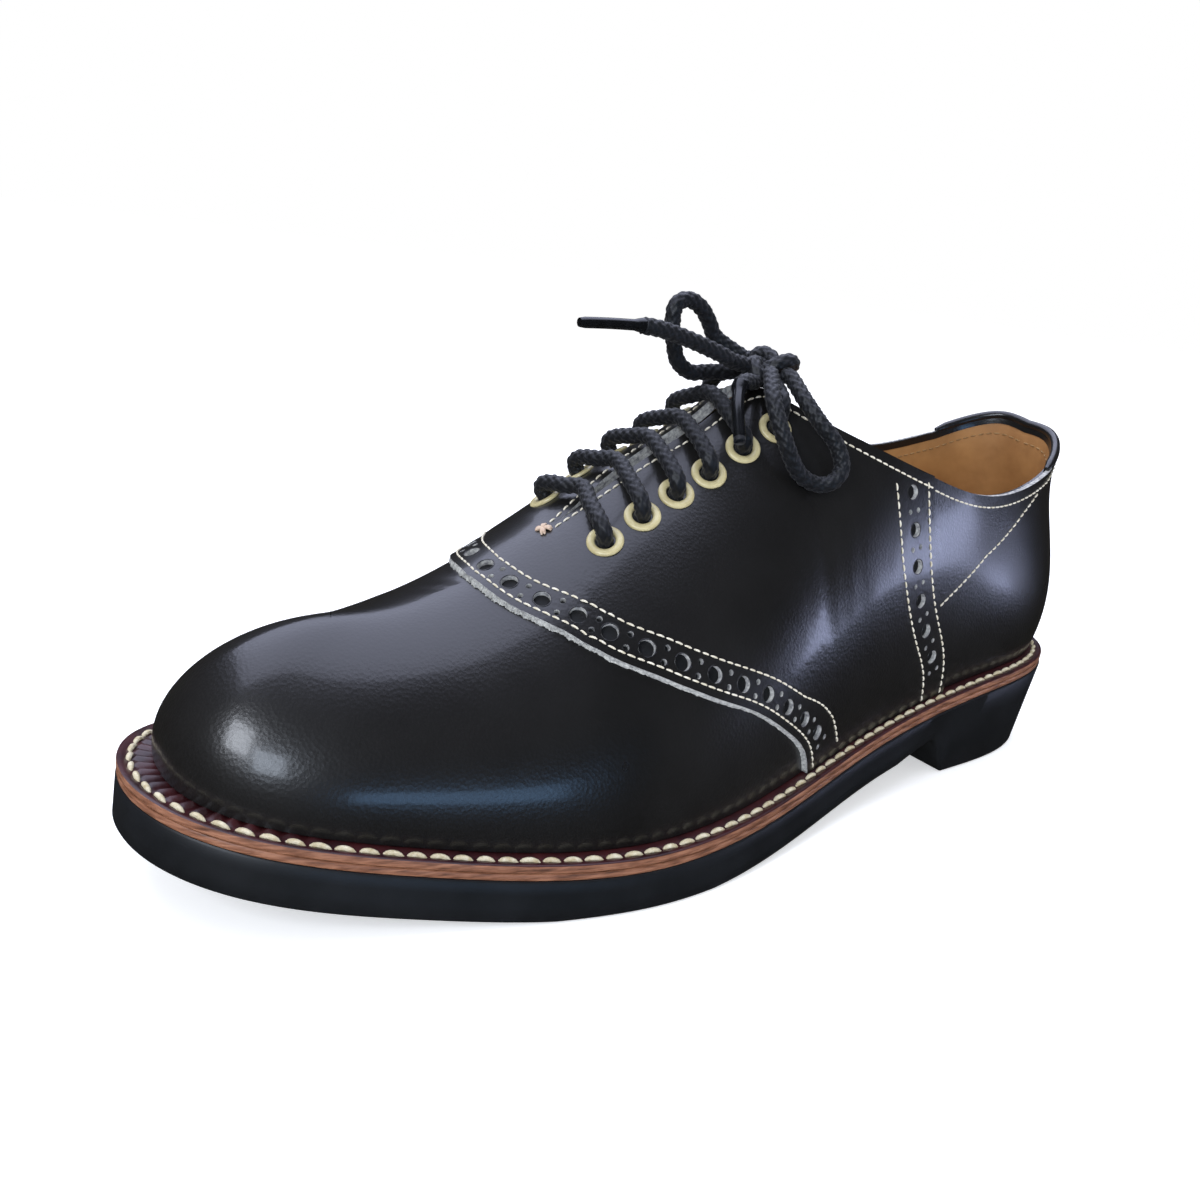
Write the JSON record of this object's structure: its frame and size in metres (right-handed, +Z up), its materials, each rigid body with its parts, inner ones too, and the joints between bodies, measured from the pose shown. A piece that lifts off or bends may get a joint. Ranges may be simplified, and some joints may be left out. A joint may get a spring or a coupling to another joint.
{
  "type": "saddle shoe",
  "caption": "Low lace-up leather shoe with a saddle across the instep, a welted rubber sole with a low heel, and a tied bow.",
  "frame": {"origin": "centre of the outsole's outline, on the floor", "axes": "+X from heel to toe, +Y to the outer (little toe) side, +Z up from the floor"},
  "size_m": [0.3056, 0.1092, 0.1358],
  "materials": {
    "black_leather": "polished, gloss",
    "sole_rubber": "satin",
    "edge_leather": "burnished edge",
    "welt_leather": "satin",
    "lining_leather": "matte",
    "eyelet_enamel": "satin enamel",
    "lace_cord": "waxed round braid"
  },
  "bodies": {
    "root": {"outsole": "sole_rubber", "midsole": "edge_leather", "welt": "welt_leather", "insole": "lining_leather", "upper": "black_leather", "saddle": "black_leather", "tongue": "black_leather", "eyelet_outer_1": "eyelet_enamel", "eyelet_outer_2": "eyelet_enamel", "eyelet_outer_3": "eyelet_enamel", "eyelet_outer_4": "eyelet_enamel", "eyelet_outer_5": "eyelet_enamel", "eyelet_outer_6": "eyelet_enamel", "eyelet_inner_1": "eyelet_enamel", "eyelet_inner_2": "eyelet_enamel", "eyelet_inner_3": "eyelet_enamel", "eyelet_inner_4": "eyelet_enamel", "eyelet_inner_5": "eyelet_enamel", "eyelet_inner_6": "eyelet_enamel", "lace_bar_1": "lace_cord", "lace_bar_2": "lace_cord", "lace_bar_3": "lace_cord", "lace_bar_4": "lace_cord", "lace_bar_5": "lace_cord", "lace_lead_outer": "lace_cord", "lace_lead_inner": "lace_cord", "knot": "lace_cord", "loop_outer": "lace_cord", "loop_inner": "lace_cord", "end_outer": "lace_cord", "end_inner": "lace_cord", "tag_outer": "lace_cord", "tag_inner": "lace_cord"}
  },
  "joints": []
}
